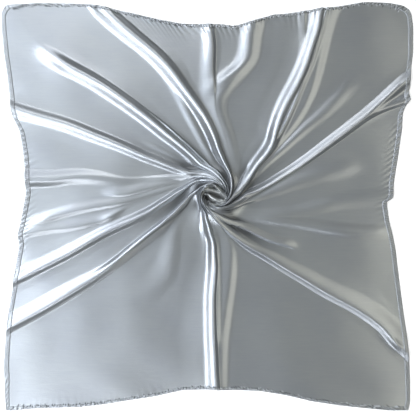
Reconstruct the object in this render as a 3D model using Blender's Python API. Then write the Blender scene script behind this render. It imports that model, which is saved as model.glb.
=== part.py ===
import math

import bmesh
import bpy
import numpy as np

# A square satin head scarf laid flat on a surface, its middle pinched up and twisted clockwise,
# so that folds run out from the twist to the four turned hems. X points to the right edge, Y to
# the upper edge and Z up from the surface, which is Z = 0.

# Sizes in metres
CUT_SIZE = 0.900
CLOTH_WALL = 0.0015
HEM_WALL = 0.0024
HEM_ROLL = 0.0006
SEAM_GAP = 0.0003
TOP_BOTTOM_HEM = 0.0055
SIDE_HEM = 0.0105
HEM_BLEND_DEGREES = 5.0
EYE_RADIUS = 0.028
EYE_OVAL = 0.0028
TWIST_GAP = 0.0008
TWIST_RIM_HEIGHT = 0.0265
TWIST_SIDE_INSET = 0.0020
EYE_DEPTH = 0.0130
EYE_FLOOR_RADIUS = 0.0120
TWIST_TURN_DEGREES = 58.0
RIDGE_AT_RIM = 0.0018
MOUND_REACH = 0.150
MOUND_POWER = 2.1
FOLD_GROWTH = 0.66
WIDEST_PART_OF_GAP = 1.20
STEEPEST_SLOPE = 2.4
RINGS = 19
RING_POWER = 1.75

# The laid edge, from the twist's centre, in millimetres: x, y
TOP_EDGE = [
    (-447, 399), (-441, 405), (-428, 406), (-373, 409), (-290, 407), (-263, 405), (-235, 399),
    (-180, 388), (-125, 375), (-70, 365), (-15, 363), (14, 364), (40, 360), (68, 367), (95, 375),
    (123, 384), (151, 386), (206, 394), (261, 401), (316, 411), (371, 409), (399, 403),
]
RIGHT_EDGE = [
    (411, 395), (416, 386), (420, 360), (420, 305), (413, 250), (414, 228), (409, 222),
    (414, 204), (403, 189), (398, 176), (396, 140), (388, 85), (379, 30), (377, -6), (363, -11),
    (369, -53), (382, -108), (392, -191), (403, -273), (411, -329), (413, -384), (413, -439),
]
BOTTOM_EDGE = [
    (409, -454), (371, -454), (316, -449), (261, -443), (206, -435), (150, -422), (95, -413),
    (40, -411), (9, -411), (2, -408), (-15, -409), (-70, -411), (-125, -424), (-180, -432),
    (-235, -441), (-290, -447), (-373, -449), (-428, -454),
]
LEFT_EDGE = [
    (-443, -454), (-445, -411), (-447, -356), (-443, -301), (-437, -246), (-428, -191),
    (-420, -136), (-415, -108), (-417, -81), (-411, -53), (-401, 2), (-401, 30), (-405, 85),
    (-409, 112), (-414, 140), (-428, 167), (-433, 195), (-439, 250), (-447, 305), (-452, 360),
    (-452, 388),
]

# Folds, counter-clockwise from the right. Each row is a crest: its bearing from the centre in
# degrees at each of the radii below and at the edge, its height in millimetres at 65, 180 and
# 400, its counter-clockwise and clockwise half widths at 400, and the radius at which it ends.
CREST_RADII = (0.028, 0.040, 0.065, 0.110, 0.180, 0.280, 0.400)
CREST_COLUMNS = ("name", "b28", "b40", "b65", "b110", "b180", "b280", "b400", "edge",
                 "h65", "h180", "h400", "ccw", "cw", "end")
CRESTS = [
    ("right_upper_edge", -70, -33, -5, 8, 17, 24, 27, 26, 10, 11, 9, 24, 9, 600),
    ("right_upper", -60, -24, 2, 13, 21, 27, 30, 31, 12, 16, 13, 22, 22, 600),
    ("right_soft", -47, -9, 14, 30, 35, 37, 40, 44.1, 9, 10, 8, 26, 20, 405),
    ("top_right_outer", -43, -6, 16, 33, 40, 47, 56, 58, 6, 9, 7, 20, 22, 600),
    ("top_right", -38, -3, 20, 37, 46, 53, 58, 61, 10, 13, 11, 16, 10, 600),
    ("top_right_inner", -32, 3, 28, 41, 51, 56, 61, 65, 9, 12, 10, 24, 16, 600),
    ("top_soft", -24, 12, 47, 71, 87, 78, 78, 78, 7, 9, 8, 14, 26, 600),
    ("top_middle", -16, 20, 58, 77, 90, 91, 92, 92, 7, 8, 9, 24, 10, 600),
    ("top_left", -8, 29, 67, 88, 99, 109, 118, 121, 12, 18, 13, 30, 36, 600),
    ("top_left_outer", 2, 44, 85, 102, 108, 112, 121, 124, 7, 12, 10, 28, 18, 600),
    ("upper_left_crease", 14, 66, 99, 115, 125, 132, 135, 135, 7, 6, 3, 12, 14, 345),
    ("upper_left", 36, 78, 108, 123, 131, 135, 139, 138.2, 12, 16, 14, 26, 15, 505),
    ("left_upper", 58, 94, 127, 146, 151, 153, 156, 157, 11, 14, 13, 30, 18, 600),
    ("left_middle", 70, 105, 143, 160, 168, 172, 174, 174, 7, 8, 8, 20, 14, 600),
    ("left_arrow", 78, 113, 155, 173, 182, 186, 188, 188, 8, 9, 9, 18, 20, 410),
    ("left_lower", 86, 122, 168, 188, 197, 200, 202, 203, 10, 13, 13, 18, 34, 600),
    ("lower_left", 120, 166, 193, 206, 211, 213, 213, 212, 13, 15, 12, 12, 32, 600),
    ("lower_left_soft", 128, 180, 206, 222, 237, 235, 231, 225.7, 5, 5, 0, 34, 34, 230),
    ("lower_left_inner", 136, 209, 231, 245, 249, 249, 249, 249, 5, 3, 0, 26, 24, 190),
    ("bottom_left", 143, 226, 248, 259, 263, 266, 268, 268, 9, 12, 11, 16, 24, 600),
    ("bottom", 150, 238, 258, 269, 270, 270, 271, 271, 10, 13, 11, 10, 16, 600),
    ("bottom_crease", 158, 247, 267, 277, 277, 274, 273, 273, 8, 7, 6, 14, 10, 600),
    ("bottom_soft", 166, 254, 275, 288, 284, 277, 276, 276, 7, 5, 3, 28, 12, 350),
    ("bottom_right_plain", 188, 260, 281, 292, 298, 303, 308, 311.9, 0, 0, 0, 20, 20, 90),
    ("lower_right", 212, 267, 288, 300, 311, 317, 322, 321, 13, 15, 12, 46, 9, 600),
    ("lower_right_crease", 232, 277, 301, 318, 327, 329, 330, 330, 8, 6, 2, 18, 11, 215),
    ("right_lower", 248, 292, 318, 335, 342, 345, 348, 348, 7, 7, 6, 28, 28, 420),
    ("right_middle", 262, 306, 331, 343, 350, 356, 358, 358, 7, 7, 7, 22, 20, 600),
    ("right_soft_crease", 278, 317, 344, 360, 368, 371, 372, 372, 7, 6, 3, 22, 20, 330),
]

# Petals of cloth turned inside the twist's eye: x and y of each end, half width, height, in
# millimetres
PETALS = [
    {"x1": -14, "y1": 14, "x2": 14, "y2": 2, "half_width": 7, "height": 7},
    {"x1": -12, "y1": 2, "x2": 10, "y2": -9, "half_width": 4, "height": 4},
    {"x1": -9, "y1": -10, "x2": 2, "y2": -16, "half_width": 5, "height": 4},
]

# Extra grid lines across the widest plain stretches, by the crest they follow
EXTRA_LINES = {"top_middle": 1, "left_upper": 1, "lower_left": 1, "bottom_soft": 1,
               "bottom_right_plain": 1}

MATERIALS = {
    "cloth": {"color": (0.40, 0.43, 0.47), "roughness": 0.34},
    "hem": {"color": (0.43, 0.46, 0.50), "roughness": 0.42},
    "twist": {"color": (0.38, 0.41, 0.45), "roughness": 0.34},
}


def clear_scene():
    for item in list(bpy.data.objects):
        bpy.data.objects.remove(item, do_unlink=True)


def material(kind):
    made = bpy.data.materials.new("satin_" + kind)
    made.use_nodes = True
    shader = made.node_tree.nodes["Principled BSDF"]
    look = MATERIALS[kind]
    shader.inputs["Base Color"].default_value = (*look["color"], 1.0)
    shader.inputs["Roughness"].default_value = look["roughness"]
    return made


def smooth(value):
    value = min(max(value, 0.0), 1.0)
    return value * value * (3.0 - 2.0 * value)


EDGE = [(x / 1000.0, y / 1000.0) for x, y in TOP_EDGE + RIGHT_EDGE + BOTTOM_EDGE + LEFT_EDGE]
CORNERS = {"top_right": 44.1, "top_left": 138.2, "bottom_left": 225.7, "bottom_right": 311.9}


def edge_radius(bearing):
    # How far the laid edge is from the centre along a bearing in degrees.
    dx = math.cos(math.radians(bearing))
    dy = math.sin(math.radians(bearing))
    for (x1, y1), (x2, y2) in zip(EDGE, EDGE[1:] + EDGE[:1]):
        across_1 = x1 * dy - y1 * dx
        across_2 = x2 * dy - y2 * dx
        if across_1 * across_2 > 0 or across_1 == across_2:
            continue
        share = across_1 / (across_1 - across_2)
        reach = (x1 + share * (x2 - x1)) * dx + (y1 + share * (y2 - y1)) * dy
        if reach > 0:
            return reach
    return CUT_SIZE / 2.0


def hem_depth(bearing):
    # The hem's width measured along the bearing, blended where two hems meet at a corner.
    bearing = bearing % 360.0
    upright = abs(math.sin(math.radians(bearing)))
    sideways = abs(math.cos(math.radians(bearing)))
    on_top_or_bottom = (CORNERS["top_right"] < bearing < CORNERS["top_left"]
                        or CORNERS["bottom_left"] < bearing < CORNERS["bottom_right"])
    long_way = TOP_BOTTOM_HEM / max(upright, 0.5)
    side_way = SIDE_HEM / max(sideways, 0.5)
    depth = long_way if on_top_or_bottom else side_way
    nearest = min(abs((bearing - corner + 180.0) % 360.0 - 180.0) for corner in CORNERS.values())
    return depth + (0.5 * (long_way + side_way) - depth) * (1.0 - smooth(nearest / HEM_BLEND_DEGREES))


def eye_radius(bearing):
    return EYE_RADIUS + EYE_OVAL * math.cos(math.radians(2.0 * bearing))


FOLDS = [dict(zip(CREST_COLUMNS, row)) for row in CRESTS]


def crest_bearing(fold, radius):
    # The bearing of a crest at a radius, steady in the logarithm of the radius.
    stations = [fold["b28"], fold["b40"], fold["b65"], fold["b110"], fold["b180"], fold["b280"],
                fold["b400"]]
    if radius <= CREST_RADII[0]:
        inward = (CREST_RADII[0] - radius) / CREST_RADII[0]
        return stations[0] - 2.0 * TWIST_TURN_DEGREES * inward ** 0.9
    for near, far, first, last in zip(CREST_RADII, CREST_RADII[1:], stations, stations[1:]):
        if radius <= far:
            share = math.log(radius / near) / math.log(far / near)
            return first + share * (last - first)
    corner_reach = 0.150
    return stations[-1] + (fold["edge"] - stations[-1]) * smooth((radius - 0.400) / corner_reach)


def crest_height(fold, radius):
    stations = ((0.028, 0.30 * fold["h65"]), (0.065, fold["h65"]), (0.180, fold["h180"]),
                (0.400, fold["h400"]), (0.700, fold["h400"]))
    height = stations[0][1]
    for (near, first), (far, last) in zip(stations, stations[1:]):
        if near <= radius <= far:
            height = first + (last - first) * math.log(radius / near) / math.log(far / near)
    fade = 1.0 - smooth((radius * 1000.0 - 0.82 * fold["end"]) / (0.18 * fold["end"]))
    return height * fade / 1000.0


def crest_lines(radius):
    # Every crest's bearing at a radius, in order, with a copy of the first one turn on.
    found = [crest_bearing(fold, radius) for fold in FOLDS]
    return found + [found[0] + 360.0]


def half_widths(radius):
    # Half widths of every fold at a radius, counter-clockwise and clockwise, in metres. They stop
    # just past the next crest.
    lines = crest_lines(radius)
    gaps = [math.radians(b - a) * radius for a, b in zip(lines, lines[1:])]
    growth = (radius / 0.400) ** FOLD_GROWTH / 1000.0
    left = [min(fold["ccw"] * growth, WIDEST_PART_OF_GAP * gap) for fold, gap in zip(FOLDS, gaps)]
    right = [min(fold["cw"] * growth, WIDEST_PART_OF_GAP * gap)
             for fold, gap in zip(FOLDS, [gaps[-1]] + gaps)]
    return left, right


def mound(radius):
    # The cloth rises towards the twist.
    away = min(max((radius - EYE_RADIUS) / (MOUND_REACH - EYE_RADIUS), 0.0), 1.0)
    return TWIST_RIM_HEIGHT * (1.0 - away) ** MOUND_POWER


def cloth_height(bearing, radius):
    # Height of the cloth's underside: folds joined as the rounded largest of them.
    left, right = half_widths(radius)
    total = 0.0
    for fold, ccw, cw in zip(FOLDS, left, right):
        turn = (bearing - crest_bearing(fold, radius) + 180.0) % 360.0 - 180.0
        away = math.radians(turn) * radius
        share = away / ccw if away > 0 else -away / cw
        if share < 1.0:
            rise = crest_height(fold, radius) * (0.5 + 0.5 * math.cos(math.pi * share))
            total += rise ** 3
    return mound(radius) + total ** (1.0 / 3.0)


def line_offsets(index, radius, lines, left, right):
    # Bearings of the grid lines from one crest up to, not including, the next one.
    start = lines[index]
    gap = lines[index + 1] - start
    follow = (index + 1) % len(FOLDS)
    extra = EXTRA_LINES.get(FOLDS[index]["name"], 0)
    steps = 5 + extra
    foot = math.degrees(left[index] / radius)
    next_foot = math.degrees(right[follow] / radius)
    found = [start]
    found.append(start + min(0.5 * foot, gap * 1 / steps))
    found.append(start + min(foot, gap * 2 / steps))
    plain_start = min(foot, gap * 2 / steps)
    plain_end = gap - min(next_foot, gap * 2 / steps)
    for step in range(extra):
        found.append(start + plain_start + (plain_end - plain_start) * (step + 1) / (extra + 1))
    found.append(start + plain_end)
    found.append(start + gap - min(0.5 * next_foot, gap * 1 / steps))
    return found


def ring_bearings(radius_of):
    # Bearings of all grid lines on a ring whose radius is a function of the bearing.
    found = []
    for index in range(len(FOLDS)):
        steps = 5 + EXTRA_LINES.get(FOLDS[index]["name"], 0)
        for step in range(steps):
            bearing = crest_bearing(FOLDS[index], radius_of(crest_bearing(FOLDS[index], 0.3)))
            for _ in range(12):
                radius = radius_of(bearing)
                lines = crest_lines(radius)
                left, right = half_widths(radius)
                aim = line_offsets(index, radius, lines, left, right)[step]
                bearing += 0.6 * (aim - bearing)
            found.append(bearing)
    return found


def point(bearing, radius, height):
    return (radius * math.cos(math.radians(bearing)), radius * math.sin(math.radians(bearing)),
            height)


def slope_wall(bearing, radius, wall):
    # The wall measured upright, thicker where the cloth stands steeply.
    reach = 0.0012
    turn = math.degrees(reach / radius)
    across = (cloth_height(bearing + turn, radius) - cloth_height(bearing - turn, radius)) / (2 * reach)
    along = (cloth_height(bearing, radius + reach) - cloth_height(bearing, radius - reach)) / (2 * reach)
    slope = min(math.hypot(across, along), STEEPEST_SLOPE)
    return wall * math.sqrt(1.0 + slope * slope)


def mesh_object(name, verts, faces, kind):
    mesh = bpy.data.meshes.new(name)
    mesh.from_pydata(verts, [], faces)
    mesh.update()
    work = bmesh.new()
    work.from_mesh(mesh)
    bmesh.ops.recalc_face_normals(work, faces=work.faces)
    work.to_mesh(mesh)
    work.free()
    mesh.materials.append(material(kind))
    made = bpy.data.objects.new(name, mesh)
    bpy.context.scene.collection.objects.link(made)
    return made


def quad(faces, a, b, c, d, flip):
    # Two triangles, split along the diagonal that the caller picks.
    if flip:
        faces.extend([(a, b, d), (b, c, d)])
    else:
        faces.extend([(a, b, c), (a, c, d)])


def wall_from_rings(under, over, closed):
    # A closed wall between two grids of points that share their plan: rings of equal length.
    count = len(under[0])
    rings = len(under)
    verts = [p for ring in under for p in ring] + [p for ring in over for p in ring]
    top = rings * count
    faces = []
    spans = count if closed else count - 1
    for ring in range(rings - 1):
        for step in range(spans):
            after = (step + 1) % count
            a, b = ring * count + step, ring * count + after
            d, c = a + count, b + count
            bend_ac = abs(over[ring][step][2] - over[ring + 1][after][2])
            bend_bd = abs(over[ring][after][2] - over[ring + 1][step][2])
            flip = bend_bd < bend_ac
            quad(faces, a, b, c, d, flip)
            quad(faces, a + top, b + top, c + top, d + top, flip)
    for ring in (0, rings - 1):
        for step in range(spans):
            after = (step + 1) % count
            a, b = ring * count + step, ring * count + after
            quad(faces, a, b, b + top, a + top, False)
    if not closed:
        for step in (0, count - 1):
            for ring in range(rings - 1):
                a, b = ring * count + step, (ring + 1) * count + step
                quad(faces, a, b, b + top, a + top, False)
    return verts, faces


def build_cloth():
    under = []
    over = []
    for ring in range(RINGS + 1):
        share = (ring / RINGS) ** RING_POWER

        def radius_of(bearing, share=share):
            inner = eye_radius(bearing)
            outer = edge_radius(bearing) - hem_depth(bearing) - SEAM_GAP
            return inner + (outer - inner) * share

        low = []
        high = []
        for bearing in ring_bearings(radius_of):
            radius = radius_of(bearing)
            height = cloth_height(bearing, radius)
            low.append(point(bearing, radius, height))
            high.append(point(bearing, radius, height + slope_wall(bearing, radius, CLOTH_WALL)))
        under.append(low)
        over.append(high)
    return "cloth", *wall_from_rings(under, over, True), "cloth"


def build_hem(name, first_corner, last_corner):
    # One turned hem between two corners: the same folds, carried out to the edge.
    across = ((0.0, 0.0), (0.5, HEM_ROLL), (1.0, -0.5 * HEM_ROLL))
    columns = []
    first = CORNERS[first_corner]
    last = CORNERS[last_corner]
    if last < first:
        last += 360.0
    bearings = sorted((b % 360.0) for b in ring_bearings(lambda b: edge_radius(b) - hem_depth(b)))
    bearings = bearings + [b + 360.0 for b in bearings]
    middle = [b for b in bearings if first + 0.35 < b < last - 0.35]
    gap = math.degrees(0.5 * SEAM_GAP / 0.58)
    for bearing in [first + gap] + middle + [last - gap]:
        outer = edge_radius(bearing)
        inner = outer - hem_depth(bearing)
        column = []
        for share, roll in across:
            radius = inner + (outer - inner) * share
            height = cloth_height(bearing, radius)
            wall = slope_wall(bearing, radius, HEM_WALL + roll)
            column.append((point(bearing, radius, height), point(bearing, radius, height + wall)))
        columns.append(column)
    under = [[column[k][0] for column in columns] for k in range(len(across))]
    over = [[column[k][1] for column in columns] for k in range(len(across))]
    return name, *wall_from_rings(under, over, False), "hem"


def petal_rise(x, y):
    rise = 0.0
    for petal in PETALS:
        x1, y1, x2, y2 = (petal[key] / 1000.0 for key in ("x1", "y1", "x2", "y2"))
        half = petal["half_width"] / 1000.0
        length_squared = (x2 - x1) ** 2 + (y2 - y1) ** 2
        share = min(max(((x - x1) * (x2 - x1) + (y - y1) * (y2 - y1)) / length_squared, 0.0), 1.0)
        away = math.hypot(x - x1 - share * (x2 - x1), y - y1 - share * (y2 - y1)) / half
        if away < 1.0:
            rise = max(rise, petal["height"] / 1000.0 * (0.5 + 0.5 * math.cos(math.pi * away)))
    return rise


def build_twist():
    # The twisted middle: the layers wound under it share this rounded body, ridged where the
    # folds run in over its rim and hollowed to an eye.
    shares = (1.0, 0.92, 0.82, 0.70, 0.56, 0.42, 0.28, 0.14)
    verts = []
    faces = []
    lines = len(FOLDS) * 2
    reach = EYE_RADIUS

    def ring_at(share):
        found = []
        for index in range(len(FOLDS)):
            here = crest_bearing(FOLDS[index], reach * share)
            ahead = crest_lines(reach * share)[index + 1]
            for step in (0, 1):
                bearing = here + 0.5 * step * (ahead - here)
                radius = (eye_radius(bearing) - TWIST_GAP) * share
                found.append((bearing, radius, step))
        return found

    for share in (0.90, 1.0):
        level = 0.0 if share < 1.0 else 0.004
        for bearing, radius, _ in ring_at(1.0):
            verts.append(point(bearing, radius - (TWIST_SIDE_INSET if share < 1.0 else 0.0), level))
    for share in shares:
        sunk = smooth((1.0 - share) * reach / (reach - EYE_FLOOR_RADIUS))
        for bearing, radius, step in ring_at(share):
            ridge = RIDGE_AT_RIM * (1.0 if step == 0 else -1.0) * share
            x, y, _ = point(bearing, radius, 0.0)
            height = TWIST_RIM_HEIGHT + CLOTH_WALL + RIDGE_AT_RIM + ridge - EYE_DEPTH * sunk
            verts.append((x, y, height + petal_rise(x, y) * smooth((1.0 - share) * 5.0)))
    centre = len(verts)
    verts.append((0.0, 0.0, TWIST_RIM_HEIGHT + CLOTH_WALL - EYE_DEPTH + petal_rise(0.0, 0.0)))
    base = len(verts)
    verts.append((0.0, 0.0, 0.0))
    rings = 2 + len(shares)
    for ring in range(rings - 1):
        for step in range(lines):
            after = (step + 1) % lines
            a, b = ring * lines + step, ring * lines + after
            quad(faces, a, b, b + lines, a + lines, False)
    for step in range(lines):
        after = (step + 1) % lines
        faces.append((base, after, step))
        faces.append((centre, (rings - 1) * lines + step, (rings - 1) * lines + after))
    return "twist", verts, faces, "twist"


def main():
    clear_scene()
    pieces = [
        build_cloth(),
        build_twist(),
        build_hem("hem_top", "top_right", "top_left"),
        build_hem("hem_left", "top_left", "bottom_left"),
        build_hem("hem_bottom", "bottom_left", "bottom_right"),
        build_hem("hem_right", "bottom_right", "top_right"),
    ]
    every = np.array([vert for _, verts, _, _ in pieces for vert in verts])
    middle = 0.5 * (every.min(axis=0) + every.max(axis=0))
    for name, verts, faces, kind in pieces:
        moved = [(x - middle[0], y - middle[1], z) for x, y, z in verts]
        mesh_object(name, moved, faces, kind)


main()
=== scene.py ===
import math

import bpy
import numpy as np
from mathutils import Matrix, Vector


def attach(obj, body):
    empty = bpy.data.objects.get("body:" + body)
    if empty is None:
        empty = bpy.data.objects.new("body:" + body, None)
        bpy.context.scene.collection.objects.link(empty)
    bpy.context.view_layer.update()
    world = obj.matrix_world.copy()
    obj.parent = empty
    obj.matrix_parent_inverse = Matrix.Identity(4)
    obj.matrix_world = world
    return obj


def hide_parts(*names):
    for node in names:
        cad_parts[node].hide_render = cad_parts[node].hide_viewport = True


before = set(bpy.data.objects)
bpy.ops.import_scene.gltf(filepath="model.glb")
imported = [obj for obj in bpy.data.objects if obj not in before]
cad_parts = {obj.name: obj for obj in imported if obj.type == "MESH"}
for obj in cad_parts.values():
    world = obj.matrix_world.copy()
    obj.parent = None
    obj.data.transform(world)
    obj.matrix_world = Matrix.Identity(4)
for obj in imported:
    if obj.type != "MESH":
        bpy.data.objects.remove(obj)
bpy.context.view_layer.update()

# A square satin head scarf laid flat, its middle pinched up and twisted clockwise. The tables of
# the edge, folds, swellings and petals are in millimetres from the twist's centre, X to the right
# edge and Y to the upper edge. Other lengths are in metres. Bearings are in degrees,
# counter-clockwise from the right.

# The scarf: its twist's centre, the hemmed square's side, its hems' widths, and how high flat
# cloth lies
TWIST_X = 0.016797
TWIST_Y = 0.022789
TOP_BOTTOM_HEM = 0.0055
SIDE_HEM = 0.0105
REST_HEIGHT = 0.0008

# The edge's table: samples between two points, degrees a row, rows of blur, and the degrees that
# stay sharp at a corner and over which the blur comes in
EDGE_SAMPLES = 60
EDGE_STEP = 0.05
EDGE_BLUR = 9.0
CORNER_SHARP = 1.0
CORNER_SOFTENS = 2.0

# Where two hems meet, their widths blend over some degrees
HEM_BLEND = 5.0
HEM_LEAST_SLANT = 0.5

# The eye in the twist's middle, and how its rim drops into it
EYE_RADIUS = 0.028
EYE_OVAL = 0.0028
EYE_LIP = 0.001
EYE_SLOPE = 0.010
EYE_DROP = 0.015

# The gathered rise round the twist, and the side where it is low
RIM_HEIGHT = 0.0265
MOUND_REACH = 0.150
MOUND_POWER = 5.4
LOW_SIDE = 207.0
LOW_SPREAD = 42.0
LOW_SHARE = 0.97
LOW_START = 0.0285
LOW_BLEND = 0.010

# Crest lines: the radii of the spiral's bearings, where the path takes over, and how the lines
# turn on inside the eye
SPIRAL_RADII = (0.028, 0.040, 0.065)
PATH_START = 0.068
INNER_TURN = 116.0
INNER_POWER = 0.9

# Crest tables: their first and last radius and rows, the radii of their stations, the shares of
# a fold's first height and width at the inner ones, rows of blur, and the share of its length at
# which a fold starts to end and over which it ends
TABLE_START = 0.006
TABLE_END = 0.720
TABLE_ROWS = 420
STATIONS = (0.010, 0.028, 0.065, 0.180, 0.400)
INNER_HEIGHTS = (0.2, 0.60, 1.15)
INNER_WIDTHS = (0.2, 0.5, 1.0)
LINE_BLUR = 4.0
HEIGHT_BLUR = 8.0
WIDTH_BLUR = 10.0
END_START = 0.82
END_LENGTH = 0.18

# Room between crests: the least gap, and the share of the gap to the next crest of any height
# that a side may take, which grows outwards and is larger for shelves
NARROWEST_GAP = 0.0016
SPREAD_ROUNDS = 40
STANDING_SHARE = 0.3
STANDING_HEIGHT = 0.0002
GAP_SHARE = 1.20
GAP_GROWTH = 2.0
GAP_GROWTH_START = 0.050
GAP_GROWTH_LENGTH = 0.060
SHELVES = ("soft_j", "ridge_q_low")
SHELF_REACH = 4.0

# A side's profile: the share and reach of its wide skirt, and how much every side rolls over
# near the twist
SKIRT = 0.18
SKIRT_REACH = 2.2
NEAR_ROLL = 0.8
NEAR_ROLL_START = 0.045
NEAR_ROLL_FADE = 0.070

# Sides that roll over like a tube, from 0 to 1, counter-clockwise and clockwise
ROLLED = {
    "ridge_o_edge": (0.0, 0.9),
    "ridge_o": (0.2, 0.0),
    "crest_h": (1.0, 0.6),
    "ridge_h": (0.3, 0.0),
    "ridge_k": (0.0, 0.35),
    "crease_l": (0.0, 0.8),
}

# Crests that lean: the counter-clockwise shift for their height
LEANS = {"ridge_o_edge": -0.3, "ridge_k": -0.35, "ridge_h": 0.25, "crease_l": -0.4}

# Shallow waves of cloth that never lies quite flat: their turns across and up, and their phase
WAVES = [
    (8.1, 3.2, 0.4), (-5.3, 9.4, 1.7), (13.0, -7.5, 2.9), (4.4, 15.8, 0.9), (-17.5, -4.1, 5.1),
    (21.0, 12.0, 3.3),
]
WAVE_SCALE = 2.2
WAVE_BEND = 1.3
WAVE_BEND_SCALE = 1.1
WAVE_HEIGHT = 0.00022
WAVE_LIFT = 3.0
WAVE_START = 0.05
WAVE_FADE = 0.1

# Small gathers that the hems' sewing draws into the cloth, and the stretch where they are tight
GATHER_HEIGHT = 0.00110
GATHER_PITCH = 0.0020
GATHER_SLANT = 300.0
GATHER_REACH = 0.014
GATHER_STRENGTH = 0.30
GATHER_CHANGE = 0.22
TIGHT_BEARING = 106.0
TIGHT_SPREAD = 9.0
TIGHT_STRENGTH = 1.3

# The laid edge: x, y
TOP_EDGE = [
    (-447, 399), (-441, 405), (-428, 406), (-373, 409), (-290, 407), (-263, 405), (-235, 399),
    (-180, 388), (-125, 375), (-70, 365), (-15, 363), (14, 364), (40, 360), (68, 367), (95, 375),
    (123, 384), (151, 386), (206, 394), (261, 401), (316, 411), (371, 409), (399, 403),
]
RIGHT_EDGE = [
    (411, 395), (416, 386), (420, 360), (420, 305), (413, 250), (414, 228), (409, 222),
    (414, 204), (403, 189), (398, 176), (396, 140), (388, 85), (379, 30), (377, -6), (363, -11),
    (369, -53), (382, -108), (392, -191), (403, -273), (411, -329), (413, -384), (413, -439),
]
BOTTOM_EDGE = [
    (409, -454), (371, -454), (316, -449), (261, -443), (206, -435), (150, -422), (95, -413),
    (40, -411), (9, -411), (2, -408), (-15, -409), (-70, -411), (-125, -424), (-180, -432),
    (-235, -441), (-290, -447), (-373, -449), (-428, -454),
]
LEFT_EDGE = [
    (-443, -454), (-445, -411), (-447, -356), (-443, -301), (-437, -246), (-428, -191),
    (-420, -136), (-415, -108), (-417, -81), (-411, -53), (-401, 2), (-401, 30), (-405, 85),
    (-409, 112), (-414, 140), (-428, 167), (-433, 195), (-439, 250), (-447, 305), (-452, 360),
    (-452, 388),
]
CORNERS = {"top_right": 44.1, "top_left": 138.2, "bottom_left": 225.7, "bottom_right": 311.9}

# Hems, counter-clockwise: their corners
HEMS = {
    "hem_top": ("top_right", "top_left"),
    "hem_left": ("top_left", "bottom_left"),
    "hem_bottom": ("bottom_left", "bottom_right"),
    "hem_right": ("bottom_right", "top_right"),
}
NARROW_HEMS = ("hem_top", "hem_bottom")

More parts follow.
